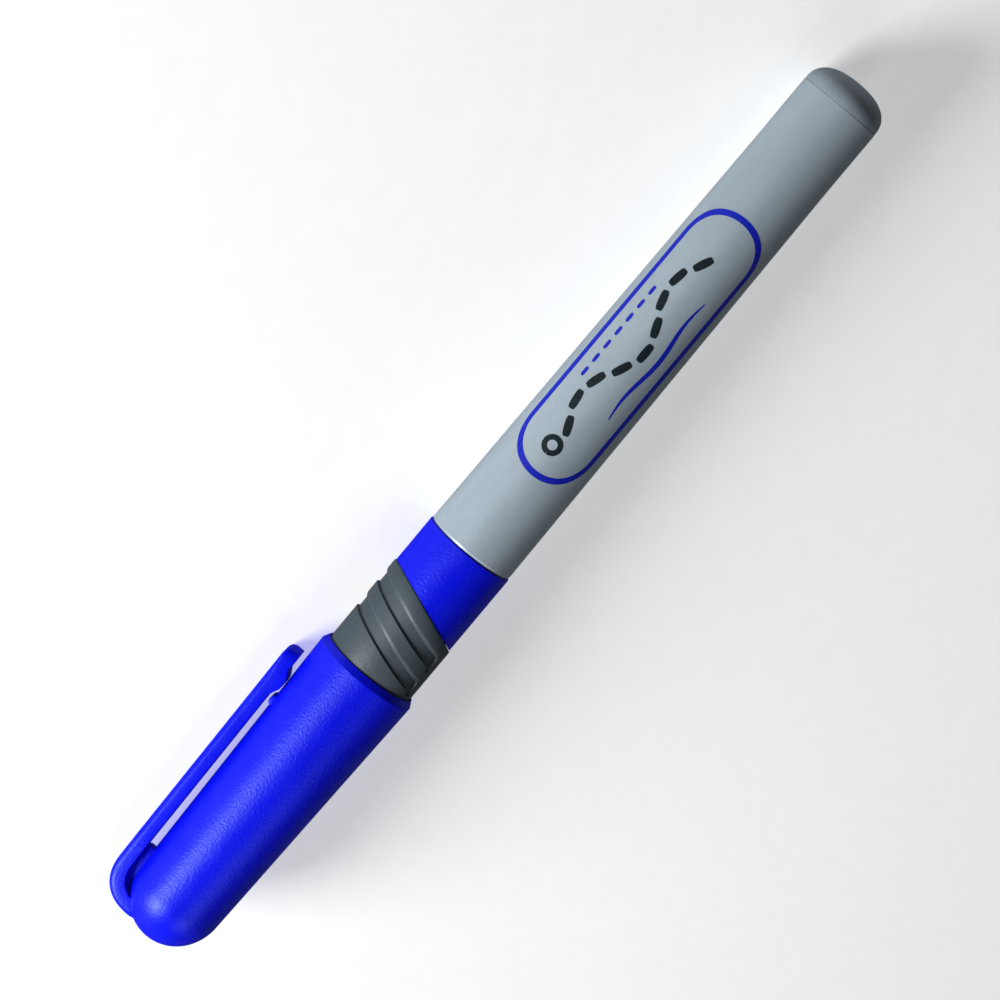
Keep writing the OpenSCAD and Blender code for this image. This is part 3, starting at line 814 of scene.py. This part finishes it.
def make_print():
    """A plain rounded frame in blue, with a wavy row of running stitches and a pen stroke in it."""
    middle, half_long, half_round, corner = along(40.9), 19.6 * MM, 5.4 * MM, 5.3 * MM
    line_width, line_step = 0.8 * MM, 0.8 * MM
    corners = []
    for sign in (1, -1):
        for share in shares(60):
            a = math.pi * (share - 0.5) * sign
            corners.append((middle + (half_long - corner + corner * math.cos(a)) * sign,
                            half_round * math.sin(a)))
    border = []
    for first, second in zip(corners, corners[1:] + corners[:1]):
        count = max(1, int((Vector(second) - Vector(first)).length / line_step))
        border += [tuple(Vector(first).lerp(Vector(second), i / count)) for i in range(count)]
    border.append(border[0])
    blue = bmesh.new()
    stroke(blue, border, [line_width] * len(border))
    # The pen stroke is thickest in its middle
    swash = [(middle + (18 * share - 9) * MM, (0.3 * math.sin(share * math.tau * 1.5) - 2.95) * MM)
             for share in shares(40)]
    stroke(blue, swash, [(0.15 + 0.5 * math.sin(math.pi * share)) * MM for share in shares(40)])
    hem = [(middle + (12.6 * share - 6.3) * MM, 3.3 * MM) for share in shares(60)]
    print_on_barrel("print_blue", hem, loose_object("blue_strokes", blue), 2.1 * MM, 0.62, PRINT_BLUE)
    # The row of stitches runs in a wave, and ends in a ring
    row_height, ring_at, ring_radius, ring_width = 0.4 * MM, 15.6 * MM, 1.0 * MM, 0.7 * MM
    wave = [(middle + (25.2 * share - 12.6) * MM, row_height + 1.5 * MM * math.sin(share * math.tau * 1.5))
            for share in shares(160)]
    ring = [(middle + ring_at + ring_radius * math.cos(math.tau * share),
             row_height + ring_radius * math.sin(math.tau * share)) for share in shares(24)]
    slate = bmesh.new()
    stroke(slate, ring, [ring_width] * len(ring))
    print_on_barrel("print_slate", wave, loose_object("slate_strokes", slate), 3.15 * MM, 1.25, PRINT_SLATE)


PRINTING = print_tree()
PRINT_BLUE = printed_ink("pad_printed_blue_ink", "#1020b8", "#1c2ec4")
PRINT_SLATE = printed_ink("pad_printed_slate_ink", "#101d22", "#1f3037")
make_print()
make_barrel()
make_tail()
make_grip()
make_cap_and_clip()


# ---------------------------------------------------------------- the room
def make_floor():
    """A pale floor that touches the cap's mouth and the tail, since the pen leans on both."""
    drop = (AXIS_POINT.z - TAIL_R) / (CAP_MOUTH - BARREL_REAR)
    mesh = bpy.data.meshes.new("floor")
    half, clear = 3.0, 0.05 * MM
    corners = [(x, y, (CAP_MOUTH - x) * drop - clear) for x, y in
               ((-half, -half), (half, -half), (half, half), (-half, half))]
    mesh.from_pydata(corners, [], [(0, 1, 2, 3)])
    floor = placed("floor", mesh)
    # The sheet lies on a light table, so it glows a little and its shadows stay pale
    material, tree, shader, mm = finish_named("white_paper_sweep", 0.9, 1.5, Emission_Strength=0.46)
    tooth = node(tree, "ShaderNodeTexNoise", Scale=0.4, Detail=5.0, links={"Vector": mm})
    shades = shades_of(tree, tooth.outputs["Fac"], "#f7f7f7", "#fdfdfd")
    for socket in ("Base Color", "Emission Color"):
        tree.links.new(shades, shader.inputs[socket])
    mesh.materials.append(material)
    # The pen has no mirror image of the sheet in it, as under a dark studio ceiling
    floor.visible_glossy = False


def soft_light(name, toward, distance, size, power):
    """An area light that shines at the pen from a direction."""
    data = bpy.data.lights.new(name, "AREA")
    data.shape, data.size, data.energy = "DISK", size, power
    light = bpy.data.objects.new(name, data)
    direction = Vector(toward).normalized()
    light.location = Vector((0, AXIS_POINT.y, AXIS_POINT.z)) + direction * distance
    light.rotation_mode = "QUATERNION"
    light.rotation_quaternion = (-direction).to_track_quat("-Z", "Y")
    bpy.context.scene.collection.objects.link(light)


def light_room():
    """A large soft key from between the label and the clip, a weak fill at the cap's end, and a dim room."""
    world = bpy.data.worlds.new("pale_room")
    world.use_nodes = True
    background = world.node_tree.nodes["Background"].inputs
    background["Color"].default_value, background["Strength"].default_value = linear("#f4f6f8"), 0.03
    bpy.context.scene.world = world
    soft_light("key_softbox", LABEL_SIDE * 0.66 + CLIP_SIDE * 0.4 + Vector((0.66, 0, 0)),
               distance=0.42, size=0.2, power=2.05)
    soft_light("cap_end_fill", LABEL_SIDE * 0.55 - CLIP_SIDE * 0.75 + Vector((0.8, 0, 0)),
               distance=0.3, size=0.16, power=0.12)
    bpy.context.scene.view_settings.view_transform = "Standard"


def aim_camera():
    """Looks square at the label from above the tail; the pen runs from low left to top right."""
    reach, offset = 406.7 * MM, -55 * MM
    across, aside, ahead = 50.1, 1.0 * MM, -2.06 * MM
    span = 122.4 * MM                          # width of the view at the pen
    spot_on_axis = Vector((0, AXIS_POINT.y, AXIS_POINT.z))
    place = spot_on_axis + LABEL_SIDE * reach + Vector((offset, 0, 0))
    aim = spot_on_axis + CLIP_SIDE * aside + Vector((ahead, 0, 0))
    toward_camera = (place - aim).normalized()
    tailward = Vector((-1, 0, 0))
    tailward = (tailward - toward_camera * tailward.dot(toward_camera)).normalized()
    clipward = toward_camera.cross(tailward)
    turn = math.radians(across)
    right = tailward * math.cos(turn) - clipward * math.sin(turn)
    up = tailward * math.sin(turn) + clipward * math.cos(turn)
    data = bpy.data.cameras.new("camera")
    data.sensor_width = 36
    data.lens = data.sensor_width * (place - aim).length / span
    data.clip_start, data.clip_end = 0.01, 20
    camera = bpy.data.objects.new("camera", data)
    camera.matrix_world = Matrix.Translation(place) @ Matrix((right, up, toward_camera)).transposed().to_4x4()
    bpy.context.scene.collection.objects.link(camera)
    bpy.context.scene.camera = camera


make_floor()
light_room()
aim_camera()
